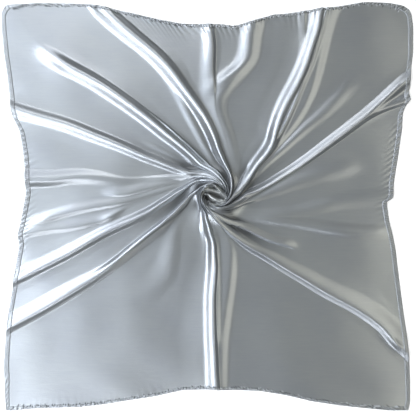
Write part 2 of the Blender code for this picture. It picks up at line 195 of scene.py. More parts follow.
# Folds, counter-clockwise from the right: a crest's name, its bearings in degrees at 28, 40 and
# 65 mm from the centre, its path from there, its heights and its counter-clockwise and clockwise
# half widths at 65, 180 and 400 mm, and how far out it ends. Those without height only guide the
# mesh's lines.
CREST_COLUMNS = ("name", "spiral", "path", "heights", "ccw", "cw", "end")
CRESTS = [
    ("ridge_o_edge", (-70, -33, -5),
     [(77, 2), (106, 18), (140, 39), (177, 62), (232, 103), (275, 135), (319, 168), (358, 189),
      (401, 201), (416, 206)],
     (7, 5.8, 5.5), (12, 12, 18), (4, 5, 9), 600),
    ("ridge_o", (-60, -24, 2),
     [(84, 9), (129, 33), (188, 70), (245, 111), (300, 153), (356, 200), (387, 230), (408, 249),
      (416, 252)],
     (9, 6.2, 7), (8, 13, 17), (8, 12, 16), 600),
    ("ridge_p", (-47, -9, 14),
     [(78, 38), (110, 70), (148, 104), (191, 144), (233, 178), (265, 212), (290, 240), (312, 257)],
     (0, 3, 2), (8, 12, 22), (8, 12, 24), 405),
    ("ridge_q_low", (-43, -6.5, 16),
     [(87, 57), (117, 93), (140, 121), (157, 144), (174, 170), (189, 197), (204, 235), (216, 288),
      (227, 341), (242, 396)],
     (0, 3, 4), (10, 80, 80), (6, 14, 26), 600),
    ("ridge_q_thin", (-41, -5, 17),
     [(87, 63), (110, 89), (129, 114), (140, 138), (154, 165), (171, 204), (188, 246), (207, 288),
      (216, 326), (229, 356), (231, 394)],
     (2, 6, 5.5), (5, 9, 9), (4, 13, 15), 600),
    ("ridge_q_right", (-39, -4, 18.5),
     [(80, 48), (105, 74), (120, 98), (127, 127), (138, 161), (153, 195), (172, 227), (189, 263),
      (199, 288), (204, 310), (212, 337), (225, 358), (218, 390)],
     (9, 13, 13), (16, 26, 28), (6, 8, 9), 600),
    ("ridge_q_left", (-32, 3, 28),
     [(66, 45), (87, 76), (104, 104), (112, 136), (123, 167), (140, 199), (159, 231), (176, 265),
      (189, 293), (187, 310), (189, 331), (193, 358), (182, 388)],
     (0, 0, 3), (8, 18, 22), (6, 10, 10), 600),
    ("ridge_r", (-24, 12, 47),
     [(40, 76), (34, 108), (23, 140), (11, 167), (3, 193), (8, 212), (23, 233), (45, 257),
      (64, 280), (74, 305), (72, 331), (78, 360)],
     (0, 3.5, 8), (20, 34, 24), (16, 24, 32), 600),
    ("ridge_t", (-16, 19, 58),
     [(34, 66), (26, 102), (15, 140), (2, 172), (-2, 195), (-2, 225), (-6, 257), (-6, 288),
      (-4, 322), (-11, 356), (-11, 363)],
     (0, 2, 9), (20, 40, 22), (6, 8, 10), 600),
    ("ridge_a", (-8, 28, 67),
     [(17, 76), (8, 98), (2, 119), (-11, 151), (-25, 176), (-47, 206), (-70, 237), (-91, 267),
      (-121, 299), (-163, 333), (-201, 365), (-235, 396)],
     (10, 12, 12), (12, 26, 32), (6, 12, 20), 600),
    ("ridge_a_left", (2, 42, 85),
     [(-2, 70), (-25, 112), (-51, 165), (-76, 214), (-104, 259), (-146, 303), (-193, 339),
      (-227, 369), (-261, 403)],
     (0, 3, 2.5), (8, 16, 20), (8, 14, 18), 600),
    ("crease_b", (14, 66, 101),
     [(-34, 85), (-72, 121), (-138, 176), (-184, 208), (-229, 237), (-307, 293)],
     (7, 4, 2), (5, 5, 6), (4, 5, 6), 310),
    ("ridge_b", (36, 77, 108),
     [(-30, 67), (-47, 85), (-100, 131), (-172, 190), (-244, 240), (-320, 280), (-371, 314),
      (-399, 335), (-445, 399)],
     (9, 11, 10.5), (12, 22, 27), (6, 12, 18), 500),
    ("crease_c", (47, 86, 119),
     [(-42, 64), (-87, 85), (-144, 112), (-229, 144), (-314, 178), (-371, 204)],
     (0, 1, 0), (5, 10, 14), (5, 10, 14), 200),
    ("ridge_c", (58, 94, 127),
     [(-53, 47), (-87, 60), (-144, 83), (-200, 108), (-257, 130), (-314, 153), (-371, 168),
      (-430, 186)],
     (5, 8, 8), (10, 16, 22), (8, 12, 18), 600),
    ("ridge_d", (70, 104, 143),
     [(-53, 38), (-117, 38), (-172, 34), (-201, 34), (-244, 40), (-286, 42), (-318, 38),
      (-350, 33), (-401, 33)],
     (4, 1, 11), (6, 26, 18), (8, 8, 30), 600),
    ("crease_e", (74.5, 108.5, 149),
     [(-91, 28), (-136, 18), (-187, 4), (-244, 6), (-297, 14), (-360, 18)],
     (0, 4, 0), (8, 12, 12), (6, 26, 18), 250),
    ("ridge_e", (78.5, 113, 156),
     [(-70, 24), (-106, 14), (-144, 2), (-201, -15), (-250, -22), (-314, -35), (-371, -53),
      (-396, -59)],
     (0, 2, 6), (8, 10, 12), (8, 18, 20), 410),
    ("ridge_f", (81, 117, 161),
     [(-223, -45), (-254, -55), (-307, -66), (-360, -70), (-409, -81)],
     (0, 0, 5), (6, 10, 14), (6, 12, 18), 600),
    ("ridge_g", (83, 120, 166),
     [(-74, 10), (-100, -8), (-138, -34), (-172, -51), (-229, -76), (-271, -100), (-314, -125),
      (-371, -153), (-420, -178)],
     (7, 7.5, 7.6), (8, 12, 14), (8, 16, 23), 600),
    ("crest_h", (117, 163, 191),
     [(-61, -12), (-85, -34), (-114, -59), (-172, -104), (-214, -138), (-257, -169), (-314, -204),
      (-435, -270)],
     (9, 7, 0), (10, 8, 6), (6, 6, 8), 470),
    ("ridge_h", (120, 166, 193),
     [(-61, -15), (-85, -36), (-114, -61), (-172, -106), (-214, -140), (-257, -172), (-314, -207),
      (-346, -226), (-392, -252), (-435, -273)],
     (0, 5, 8.5), (16, 17, 16), (28, 26, 25), 600),
    ("soft_v", (128, 178, 203),
     [(-66, -30), (-81, -61), (-89, -114), (-100, -167), (-443, -454)],
     (0, 2, 0), (14, 28, 32), (14, 40, 48), 280),
    ("soft_v_inner", (136, 209, 231),
     [(-38, -53), (-45, -93), (-53, -140)],
     (0, 0, 0), (6, 16, 20), (6, 16, 20), 200),
    ("ridge_i_left", (143, 226, 248),
     [(-19, -55), (-18, -98), (-20, -148), (-21, -212), (-19, -297), (-12, -392), (-11, -413)],
     (2, 0, 0), (6, 8, 8), (10, 12, 14), 600),
    ("ridge_i_right", (150, 238, 258),
     [(-13, -55), (-2, -98), (1, -148), (-3, -212), (-2, -297), (5, -392), (7, -411)],
     (8, 10, 12), (6, 8, 9), (12, 26, 30), 600),
    ("crease_j", (158, 247, 267),
     [(8, -64), (3, -98), (3, -148), (2, -212), (2, -297)],
     (0, 6.5, 6.5), (8, 18, 20), (5, 8, 8), 360),
    ("soft_j", (166, 253, 275),
     [(23, -83), (31, -114), (28, -167), (21, -220), (15, -263), (10, -305), (8, -369)],
     (0, 5, 4.5), (10, 26, 24), (10, 90, 90), 470),
    ("plain_corner", (190, 258, 281),
     [(49, -114), (100, -189), (180, -284), (286, -379), (409, -454)],
     (0, 0, 0), (6, 12, 20), (6, 12, 20), 90),
    ("ridge_k", (212, 266, 286.5),
     [(15, -61), (54, -93), (113, -127), (185, -170), (241, -204), (298, -232), (340, -260),
      (370, -284), (387, -306), (405, -328)],
     (9, 6, 6.5), (10, 20, 34), (5, 12.5, 16), 600),
    ("crease_l", (232, 275, 299),
     [(45, -59), (74, -71), (95, -82), (125, -95), (155, -101), (178, -110)],
     (8, 4, 2), (12, 14, 16), (5, 7, 8), 215),
    ("soft_m", (248, 292, 318),
     [(66, -45), (100, -47), (151, -52), (208, -61), (265, -71), (329, -75), (367, -76)],
     (0, 4.5, 5), (8, 16, 20), (8, 20, 24), 420),
    ("soft_n", (262, 306, 331),
     [(74, -36), (112, -40), (159, -37), (208, -27), (265, -13), (320, -6), (363, -4)],
     (0, 3.5, 4), (8, 24, 28), (8, 18, 24), 600),
    ("soft_o", (280, 318, 347),
     [(89, -4), (117, 6), (159, 22), (201, 37), (244, 49), (290, 59)],
     (3, 3.5, 3), (14, 26, 28), (4, 20, 26), 330),
]

# Soft swellings: x, y, long way's bearing, half length, half width, height
SWELLS = [
    (376, -308, 312, 20, 9, 4.5),
    (108, 88, 45, 22, 10, 2.0),
    (20, 250, 34, 44, 9, 4.0),
    (-365, -52, 20, 24, 9, 2.5),
    (-222, -45, 205, 18, 8, 3.0),
]


def smooth(value):
    value = np.clip(value, 0.0, 1.0)
    return value * value * (3.0 - 2.0 * value)


def turn_from(bearing, other):
    # The turn from the other bearing to this one, between -180 and 180 degrees.
    return (bearing - other + 180.0) % 360.0 - 180.0


def corner_distance(bearing):
    # The turn to the nearest corner.
    return np.min([np.abs(turn_from(bearing, corner)) for corner in CORNERS.values()], axis=0)


def blur(values, sigma, closed=False):
    # A Gaussian blur of evenly spaced samples.
    reach = int(4 * sigma) + 1
    weights = np.exp(-0.5 * (np.arange(-reach, reach + 1) / sigma) ** 2)
    weights /= weights.sum()
    if closed:
        padded = np.concatenate([values[-reach:], values, values[:reach]])
    else:
        first = values[0] + (values[0] - values[1:reach + 1][::-1])
        last = values[-1] + (values[-1] - values[-reach - 1:-1][::-1])
        padded = np.concatenate([first, values, last])
    return np.convolve(padded, weights, mode="valid")


def edge_tables():
    # The edge, as a radius for each bearing and a length along it.
    points = np.array(TOP_EDGE + RIGHT_EDGE + BOTTOM_EDGE + LEFT_EDGE) / 1000.0
    ring = np.vstack([points, points[:1]])
    steps = np.linspace(0.0, 1.0, EDGE_SAMPLES, endpoint=False)
    dense = np.concatenate([a + (b - a) * steps[:, None] for a, b in zip(ring, ring[1:])])
    bearing = np.degrees(np.arctan2(dense[:, 1], dense[:, 0])) % 360.0
    order = np.argsort(bearing)
    table = np.arange(0.0, 360.0, EDGE_STEP)
    radius = np.interp(table, bearing[order], np.hypot(*dense.T)[order], period=360.0)
    soft = blur(radius, EDGE_BLUR, closed=True)
    softness = smooth((corner_distance(table) - CORNER_SHARP) / CORNER_SOFTENS)
    radius = radius + (soft - radius) * softness
    x = radius * np.cos(np.radians(table))
    y = radius * np.sin(np.radians(table))
    length = np.concatenate([[0.0], np.cumsum(np.hypot(np.diff(x), np.diff(y)))])
    return table, radius, length


EDGE_BEARING, EDGE_RADIUS, EDGE_LENGTH = edge_tables()


def edge_radius(bearing):
    return np.interp(bearing, EDGE_BEARING, EDGE_RADIUS, period=360.0)


def edge_length(bearing):
    return np.interp(bearing % 360.0, EDGE_BEARING, EDGE_LENGTH)


def corner_span(name, margin):
    # The bearings between which a hem runs, a margin inside its corners.
    first, last = (CORNERS[corner] for corner in HEMS[name])
    if last < first:
        last += 360.0
    return first + margin, last - margin


def hem_depth(bearing):
    # The hem's width along the bearing, blended where two hems meet.
    bearing = bearing % 360.0
    upright = np.abs(np.sin(np.radians(bearing)))
    sideways = np.abs(np.cos(np.radians(bearing)))
    long_way = TOP_BOTTOM_HEM / np.maximum(upright, HEM_LEAST_SLANT)
    side_way = SIDE_HEM / np.maximum(sideways, HEM_LEAST_SLANT)
    at_top = (bearing > CORNERS["top_right"]) & (bearing < CORNERS["top_left"])
    at_bottom = (bearing > CORNERS["bottom_left"]) & (bearing < CORNERS["bottom_right"])
    depth = np.where(at_top | at_bottom, long_way, side_way)
    mean = 0.5 * (long_way + side_way)
    return depth + (mean - depth) * (1.0 - smooth(corner_distance(bearing) / HEM_BLEND))


def eye_radius(bearing):
    return EYE_RADIUS + EYE_OVAL * np.cos(np.radians(2.0 * bearing))


# Crest lines, heights and widths stand on an even table of the radius's logarithm
LOG_RADII = np.linspace(math.log(TABLE_START), math.log(TABLE_END), TABLE_ROWS)
RADII = np.exp(LOG_RADII)
FOLDS = [dict(zip(CREST_COLUMNS, row)) for row in CRESTS]


def crest_line(fold):
    # A crest's bearing at every radius of the table.
    radii = list(SPIRAL_RADII)
    bearings = list(fold["spiral"])
    for x, y in fold["path"]:
        radius = math.hypot(x, y) / 1000.0
        if radius > PATH_START:
            bearing = math.degrees(math.atan2(y, x))
            bearing += 360.0 * round((bearings[-1] - bearing) / 360.0)
            radii.append(radius)
            bearings.append(bearing)
    line = np.interp(LOG_RADII, np.log(radii), bearings)
    inward = np.clip((EYE_RADIUS - RADII) / EYE_RADIUS, 0.0, 1.0)
    return blur(line - INNER_TURN * inward ** INNER_POWER, LINE_BLUR)


def spread(lines):
    # Keeps neighbouring crests apart at every radius.
    least = np.degrees(NARROWEST_GAP / RADII)
    for _ in range(SPREAD_ROUNDS):
        ahead = np.roll(lines, -1, axis=0)
        ahead[-1] += 360.0
        short = np.maximum(least - (ahead - lines), 0.0) * 0.5
        lines = lines - short + np.roll(short, 1, axis=0)
    return lines


def standing_gap(lines, heights, way):
    # The turn from each crest to the next one, either way, that stands out at that radius.
    count = len(FOLDS)
    gap = np.full(lines.shape, 360.0)
    for step in range(count - 1, 0, -1):
        other = (np.arange(count) + way * step) % count
        stands = heights[other] > STANDING_SHARE * heights + STANDING_HEIGHT
        gap = np.where(stands, (way * (lines[other] - lines)) % 360.0, gap)
    return gap


def at_stations(values, inner_shares):
    # A fold's height or width at every radius, in millimetres.
    low, middle, high = values
    stations = [share * low for share in inner_shares] + [middle, high]
    return np.interp(LOG_RADII, np.log(STATIONS), stations)


def crest_height(fold):
    height = at_stations(fold["heights"], INNER_HEIGHTS)
    past = (RADII * 1000.0 - END_START * fold["end"]) / (END_LENGTH * fold["end"])
    return blur(height, HEIGHT_BLUR) * (1.0 - smooth(past)) / 1000.0


def crest_widths(side, gaps):
    # Each crest's half width on one side, no wider than its share of the gap.
    growth = GAP_GROWTH * smooth((RADII - GAP_GROWTH_START) / GAP_GROWTH_LENGTH)
    room = GAP_SHARE * (1.0 + growth)
    found = []
    for fold, gap in zip(FOLDS, gaps):
        width = at_stations(fold[side], INNER_WIDTHS)
        reach = SHELF_REACH if fold["name"] in SHELVES else 1.0
        found.append(blur(np.minimum(width / 1000.0, reach * room * gap), WIDTH_BLUR))
    return np.array(found)


def crest_tables():
    lines = spread(np.array([crest_line(fold) for fold in FOLDS]))
    heights = np.array([crest_height(fold) for fold in FOLDS])
    ahead, behind = (np.radians(standing_gap(lines, heights, way)) * RADII for way in (1, -1))
    return lines, heights, crest_widths("ccw", ahead), crest_widths("cw", behind)


CREST_LINES, CREST_HEIGHTS, CREST_CCW, CREST_CW = crest_tables()


def lookup(table, radius):
    return np.interp(np.log(radius), LOG_RADII, table)


def mound(bearing, radius):
    # The gathered rise round the twist, lower towards the lower left.
    away = np.clip((radius - EYE_RADIUS) / (MOUND_REACH - EYE_RADIUS), 0.0, 1.0)
    turn = turn_from(bearing, LOW_SIDE)
    low = LOW_SHARE * np.exp(-(turn / LOW_SPREAD) ** 2)
    low = low * smooth((radius - LOW_START) / LOW_BLEND)
    return RIM_HEIGHT * (1.0 - away) ** MOUND_POWER * (1.0 - low)


def fold_rise(bearing, radius):
    # Folds joined as the rounded largest of them, and how far steep sides lean out.
    total = np.zeros_like(radius)
    lean = np.zeros_like(radius)
    near = NEAR_ROLL * (1.0 - smooth((radius - NEAR_ROLL_START) / NEAR_ROLL_FADE))
    for index, fold in enumerate(FOLDS):
        away = np.radians(turn_from(bearing, lookup(CREST_LINES[index], radius))) * radius
        wide = np.where(away > 0, lookup(CREST_CCW[index], radius),
                        lookup(CREST_CW[index], radius))
        share = np.minimum(np.abs(away) / wide, 1.0)
        skirt = np.minimum(np.abs(away) / (SKIRT_REACH * wide), 1.0)
        soft = (1.0 - SKIRT) * np.cos(math.pi * share) + SKIRT * np.cos(math.pi * skirt)
        soft = 0.5 + 0.5 * soft
        roll = np.maximum(np.where(away > 0, *ROLLED.get(fold["name"], (0.0, 0.0))), near)
        shape = roll * np.sqrt(1.0 - share ** 2) + (1.0 - roll) * soft
        rise = lookup(CREST_HEIGHTS[index], radius) * shape
        total += rise ** 3
        lean += LEANS.get(fold["name"], 0.0) * rise * smooth(1.0 - share)
    return np.cbrt(total), lean


def swell_rise(x, y):
    rise = np.zeros_like(x)
    for middle_x, middle_y, bearing, half_length, half_width, height in SWELLS:
        cos, sin = math.cos(math.radians(bearing)), math.sin(math.radians(bearing))
        dx, dy = x * 1000.0 - middle_x, y * 1000.0 - middle_y
        along, across = (dx * cos + dy * sin) / half_length, (dy * cos - dx * sin) / half_width
        rise += height / 1000.0 * np.exp(-(along ** 2 + across ** 2))
    return rise


def undulation(x, y):
    total = np.zeros_like(x)
    for across, up, phase in WAVES:
        bend = WAVE_BEND * np.sin(WAVE_BEND_SCALE * (up * x - across * y) + phase)
        total += np.sin(WAVE_SCALE * (across * x + up * y) + phase + bend)
    return WAVE_HEIGHT * (total + WAVE_LIFT)


def drift(length, size, pitch):
    # A slow change of a wave's phase along the edge.
    return size * np.sin(length / pitch)


def pucker(bearing, radius):
    length = edge_length(bearing)
    inside = np.clip(edge_radius(bearing) - radius, 0.0, None)
    wave = np.sin(length / GATHER_PITCH + GATHER_SLANT * inside
                  + drift(length, size=2.6, pitch=0.031) + drift(length, size=1.5, pitch=0.0147))
    changing = np.sin(length / 0.083 + drift(length, size=1.5, pitch=0.047))
    strength = GATHER_STRENGTH + GATHER_CHANGE * changing
    tight = np.exp(-((bearing - TIGHT_BEARING) / TIGHT_SPREAD) ** 2)
    strength = strength + TIGHT_STRENGTH * tight
    return GATHER_HEIGHT * strength * (wave + 1.0) * np.exp(-inside / GATHER_REACH)


def surface(bearing, radius):
    # Points of the cloth's face, from the twist's centre.
    rise, lean = fold_rise(bearing, radius)
    x = radius * np.cos(np.radians(bearing))
    y = radius * np.sin(np.radians(bearing))
    sunk = smooth((eye_radius(bearing) + EYE_LIP - radius) / EYE_SLOPE) * EYE_DROP
    z = REST_HEIGHT + mound(bearing, radius) + rise - sunk
    z = z + swell_rise(x, y) + undulation(x, y) * smooth((radius - WAVE_START) / WAVE_FADE)
    z = np.maximum(z + pucker(bearing, radius), REST_HEIGHT)
    x = x - lean * np.sin(np.radians(bearing))
    y = y + lean * np.cos(np.radians(bearing))
    return np.stack([x, y, z], axis=-1)


def add_object(name, data):
    made = bpy.data.objects.new(name, data)
    bpy.context.scene.collection.objects.link(made)
    return made


def make_piece(name, points, faces, material, replaced, painted_shade=None):
    # A mesh on the root body, its weave's directions as a UV map, and where painted shade darkens
    # it.
    mesh = bpy.data.meshes.new(name)
    shifted = np.asarray(points, dtype=float) + np.array([TWIST_X, TWIST_Y, 0.0])
    mesh.from_pydata(shifted.tolist(), [], faces)
    mesh.materials.append(material)
    mesh.polygons.foreach_set("use_smooth", [True] * len(mesh.polygons))
    mesh.update()
    corners = np.empty(len(mesh.loops), dtype=int)
    mesh.loops.foreach_get("vertex_index", corners)
    plan = shifted[corners][:, [1, 0]]
    mesh.uv_layers.new(name="weave").data.foreach_set("uv", plan.ravel())
    # the attribute holds painted shade, darkening the base colour where shade falls
    if painted_shade is not None:
        mesh.attributes.new("painted_shade", "FLOAT", "POINT").data.foreach_set("value", painted_shade)
    piece = add_object(name, mesh)
    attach(piece, "root")
    if replaced:
        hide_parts(*replaced)
    return piece


def ring_faces(rows, columns):
    # The faces between closed rings of points.
    faces = []
    for row in range(rows - 1):
        for step in range(columns):
            after = (step + 1) % columns
            faces.append((row * columns + step, row * columns + after,
                          (row + 1) * columns + after, (row + 1) * columns + step))
    return faces


# The cloth's mesh: lines that run out between the crests, shared out by the gaps far out and
# near the twist and evenly, and drawn towards the crests. Rings go out from inside the eye,
# closer together near the twist and at the hem. Each ring's points settle on their lines.
LINE_COUNT = 1620
LEAST_LINES = 8
FAR_RADIUS = 0.300
NEAR_RADIUS = 0.090
FAR_SHARE = 0.6
NEAR_SHARE = 0.25
EVEN_SHARE = 0.15
LINE_BUNCHING = 0.35
EYE_RINGS = (0.70, 0.76, 0.82, 0.87, 0.91, 0.95, 0.98)
EYE_ROUNDS = 8
EYE_PULL = 0.7
FACE_RINGS = 49
FACE_BUNCHING = 1.5
FACE_END = 0.945
EDGE_START = 0.952
EDGE_RINGS = 7
FACE_ROUNDS = 25
FACE_PULL = 0.5
UNDER_HEM = 0.0015

# Painted shade in the valleys between folds: a share of the radius to look round, within limits,
# the depth for that reach from which the painted shade starts, the darkest, and where it fades
VALLEY_REACH = 0.14
VALLEY_LEAST = 0.003
VALLEY_MOST = 0.012
VALLEY_SLOPE = 0.30
VALLEY_START = 0.20
VALLEY_PAINTED_SHADE_MOST = 0.85
VALLEY_FADE_START = 0.070
VALLEY_FADE = 0.160


def line_plan():
    # For each line, the crest before it and its place on the way to the next.
    def gaps_at(radius):
        lines = np.array([lookup(line, radius) for line in CREST_LINES])
        return np.diff(np.append(lines, lines[0] + 360.0))

    share = (FAR_SHARE * gaps_at(FAR_RADIUS) / 360.0
             + NEAR_SHARE * gaps_at(NEAR_RADIUS) / 360.0 + EVEN_SHARE / len(FOLDS))
    counts = np.maximum(np.round(share * LINE_COUNT).astype(int), LEAST_LINES)
    owner = np.concatenate([np.full(count, index) for index, count in enumerate(counts)])
    part = np.concatenate([np.arange(count) / count for count in counts])
    part = part - LINE_BUNCHING * np.sin(2.0 * math.pi * part) / (2.0 * math.pi)
    return owner, part


def ring_shares():
    # The rings' places from the eye's edge to under the hem, from 0 to 1.
    face = np.linspace(0.0, 1.0, FACE_RINGS) ** FACE_BUNCHING
    return np.concatenate([face[face < FACE_END], np.linspace(EDGE_START, 1.0, EDGE_RINGS)])


def line_bearings(owner, part, radius):
    follow = (owner + 1) % len(FOLDS)
    here = np.empty_like(radius)
    ahead = np.empty_like(radius)
    for index in range(len(FOLDS)):
        value = lookup(CREST_LINES[index], radius)
        here = np.where(owner == index, value, here)
        ahead = np.where(follow == index, value, ahead)
    ahead = np.where(follow == 0, ahead + 360.0, ahead)
    return here + part * (ahead - here)


def ring_painted_shade(ring):
    # How deep each point lies between its neighbours round the ring, as painted shade from 0 to 1.
    radius = float(np.mean(np.hypot(ring[:, 0], ring[:, 1])))
    reach = min(max(VALLEY_REACH * radius, VALLEY_LEAST), VALLEY_MOST)
    nearby = blur(ring[:, 2], reach / (2.0 * math.pi * radius / len(ring)), closed=True)
    depth = (nearby - ring[:, 2]) / (VALLEY_SLOPE * reach) - VALLEY_START
    fade = 1.0 - smooth((radius - VALLEY_FADE_START) / VALLEY_FADE)
    return np.clip(depth, 0.0, 1.0) * VALLEY_PAINTED_SHADE_MOST * fade


def build_cloth(material):
    owner, part = line_plan()
    rings = []
    for share in EYE_RINGS:
        bearing = line_bearings(owner, part, np.full(len(owner), EYE_RADIUS * share))
        for _ in range(EYE_ROUNDS):
            radius = eye_radius(bearing) * share
            bearing += EYE_PULL * (line_bearings(owner, part, radius) - bearing)
        rings.append(surface(bearing, eye_radius(bearing) * share))
    for share in ring_shares():
        bearing = line_bearings(owner, part, np.full(len(owner), FAR_RADIUS))
        for _ in range(FACE_ROUNDS):
            inner = eye_radius(bearing)
            outer = edge_radius(bearing) - hem_depth(bearing) + UNDER_HEM
            radius = inner + (outer - inner) * share
            bearing += FACE_PULL * (line_bearings(owner, part, radius) - bearing)
        rings.append(surface(bearing, radius))
    # painted shade, darkest deep in the valleys between folds
    painted_shade = np.concatenate([ring_painted_shade(ring) for ring in rings])
    return make_piece("scarf_cloth", np.concatenate(rings), ring_faces(len(rings), len(owner)),
                      material, ["cloth"], painted_shade)


# A hem's section: the share across it and the height over the cloth
NARROW_SECTION = [
    (0.00, -0.0002), (0.00, 0.0006), (0.12, 0.0011), (0.30, 0.0013), (0.50, 0.0012),
    (0.70, 0.0014), (0.88, 0.0013), (0.97, 0.0008), (1.00, 0.0002), (0.97, -0.0003),
    (0.50, -0.0003),
]
WIDE_SECTION = [
    (0.00, -0.0002), (0.00, 0.0002), (0.12, 0.0007), (0.28, 0.0006), (0.48, 0.0010),
    (0.68, 0.0010), (0.86, 0.0012), (0.96, 0.0009), (1.00, 0.0002), (0.97, -0.0003),
    (0.50, -0.0003),
]
HEM_POINTS = 1500
HEM_MARGIN = 0.02

# Grooves that the sewing pulls across a hem: their pitch, how they slant and drift, how sharp they
# are and how deep. A narrow hem's fade at its inner side, a wide hem's grow to its outer edge.
NARROW_GROOVES = {"pitch": 0.00120, "slant": 3.6, "drift": (1.1, 0.0115), "power": 1.4,
                  "depth": 0.0008}
WIDE_GROOVES = {"pitch": 0.00080, "slant": 2.2, "drift": (1.4, 0.0131), "power": 2,
                "depth": 0.0004}
GROOVE_FADE = 0.25
GROOVE_INNER = 0.25
GROOVE_OUTER = 0.75
GROOVE_MEAN = 0.65
GROOVE_CHANGE = 0.35
GROOVE_FULL_LIFT = 0.0012
# The painted shade in a groove: its share for the groove's depth, and the darkest
GROOVE_PAINTED_SHADE = 0.95
GROOVE_PAINTED_SHADE_MOST = 0.9


def build_hem(name, material):
    narrow = name in NARROW_HEMS
    section = NARROW_SECTION if narrow else WIDE_SECTION
    kind = NARROW_GROOVES if narrow else WIDE_GROOVES
    bearing = np.linspace(*corner_span(name, HEM_MARGIN), HEM_POINTS)
    outer = edge_radius(bearing)
    depth = hem_depth(bearing)
    length = edge_length(bearing)
    changing = np.sin(length / 0.0093 + drift(length, size=2.0, pitch=0.0217))
    uneven = GROOVE_MEAN + GROOVE_CHANGE * changing
    rows, groove_shades = [], []
    for share, lift in section:
        row = surface(bearing, outer - depth * (1.0 - share))
        phase = length / kind["pitch"] + kind["slant"] * share + drift(length, *kind["drift"])
        across = smooth(share / GROOVE_FADE) if narrow else GROOVE_INNER + GROOVE_OUTER * share ** 2
        groove = np.clip(np.sin(phase), 0.0, 1.0) ** kind["power"] * uneven * across
        groove = groove * (lift > 0.0)
        row[:, 2] += lift - kind["depth"] * groove * min(1.0, lift / GROOVE_FULL_LIFT)
        rows.append(row)
        # painted shade in the grooves, where shadow falls
        groove_shades.append(np.clip(GROOVE_PAINTED_SHADE * groove, 0.0, GROOVE_PAINTED_SHADE_MOST))
    starts = [row * HEM_POINTS for row in range(len(section))]
    faces = []
    for start, after in zip(starts, starts[1:] + starts[:1]):
        for step in range(HEM_POINTS - 1):
            faces.append((start + step, start + step + 1, after + step + 1, after + step))
    faces.append(tuple(starts))
    faces.append(tuple(start + HEM_POINTS - 1 for start in reversed(starts)))
    return make_piece("scarf_" + name, np.concatenate(rows), faces, material, [name],
                      np.concatenate(groove_shades))


# Stitches: samples of a hem's length, the ends left free, and how far the pitch changes
STITCH_SAMPLES = 6000
STITCH_MARGIN = 0.3
STITCH_SEED = 11
STITCH_START = 0.004
STITCH_STAGGER = 0.003
STITCH_END = 0.006
STITCH_CHANGE = 0.30
THREAD_SIDES = 5
THREAD_END = 0.45

# A narrow hem's slanted stitch, four points of it: their places along it and across the hem, where
# its middle is and how far that moves, and the heights over the cloth
NARROW_PITCH = 0.0056
NARROW_THREAD = 0.00090
NARROW_LENGTH = 0.0030
NARROW_ALONG = np.array([0.0, 0.35, 0.7, 1.0])
NARROW_ACROSS = np.array([-0.36, -0.12, 0.14, 0.36])
NARROW_MIDDLE = 0.20
NARROW_MOVES = 0.55
NARROW_FOOT = 0.0002
NARROW_LIFT = 0.0010
NARROW_BOW = np.array([0.0, 0.0005, 0.0005, 0.0])

# A wide hem's running stitch: the same, its length a share of the pitch
WIDE_PITCH = 0.0050
WIDE_THREAD = 0.00050
WIDE_LENGTH = 0.66
WIDE_ALONG = np.array([0.0, 0.3, 0.7, 1.0])
WIDE_MIDDLE = 0.16
WIDE_MOVES = 0.02
WIDE_BOW = np.array([0.0006, 0.0015, 0.0015, 0.0006])


def tube(points, radius):
    # A closed thin tube through the points, drawn in at both ends.
    points = np.asarray(points)
    ahead = np.gradient(points, axis=0)
    ahead /= np.linalg.norm(ahead, axis=1)[:, None]
    side = np.cross(ahead, (0.0, 0.0, 1.0))
    side /= np.linalg.norm(side, axis=1)[:, None]
    up = np.cross(side, ahead)
    angles = np.arange(THREAD_SIDES) * 2.0 * math.pi / THREAD_SIDES
    widths = radius * np.array([THREAD_END] + [1.0] * (len(points) - 2) + [THREAD_END])
    rings = [point + w * (np.cos(angles)[:, None] * a + np.sin(angles)[:, None] * b)
             for point, w, a, b in zip(points, widths, side, up)]
    faces = ring_faces(len(points), THREAD_SIDES)
    last = (len(points) - 1) * THREAD_SIDES
    faces.append(tuple(reversed(range(THREAD_SIDES))))
    faces.append(tuple(range(last, last + THREAD_SIDES)))
    return np.concatenate(rings), faces


def narrow_stitch(chance):
    share = NARROW_ACROSS + NARROW_MIDDLE + NARROW_MOVES * chance.uniform(-1.0, 1.0)
    on_hem = smooth((share + 0.1) / 0.2)
    lift = NARROW_LIFT * on_hem * (1.0 - smooth((share - 0.9) / 0.2))
    return NARROW_ALONG * NARROW_LENGTH, share, NARROW_FOOT + lift + NARROW_BOW


def wide_stitch(chance, pitch):
    share = WIDE_MIDDLE + WIDE_MOVES * chance.uniform(-1.0, 1.0)
    return WIDE_ALONG * pitch * WIDE_LENGTH, np.full(len(WIDE_ALONG), share), WIDE_BOW


def build_stitches(name, row, material):
    narrow = name in NARROW_HEMS
    bearing = np.linspace(*corner_span(name, STITCH_MARGIN), STITCH_SAMPLES)
    length = np.unwrap(edge_length(bearing), period=EDGE_LENGTH[-1])
    chance = np.random.default_rng(STITCH_SEED + len(name) + 7 * row)
    start = length[0] + STITCH_START + STITCH_STAGGER * row
    points, faces, count = [], [], 0
    while start < length[-1] - STITCH_END:
        pitch = NARROW_PITCH if narrow else WIDE_PITCH
        pitch *= 1.0 + STITCH_CHANGE * chance.uniform(-1.0, 1.0)
        along, share, lift = narrow_stitch(chance) if narrow else wide_stitch(chance, pitch)
        where = np.interp(start + along, length, bearing)
        line = surface(where, edge_radius(where) - hem_depth(where) * (1.0 - share))
        line[:, 2] += lift
        ring, ends = tube(line, NARROW_THREAD if narrow else WIDE_THREAD)
        faces += [tuple(v + count for v in face) for face in ends]
        points.append(ring)
        count += len(ring)
        start += pitch
    return make_piece("stitches_%s_%d" % (name, row), np.concatenate(points), faces, material,
                      [])


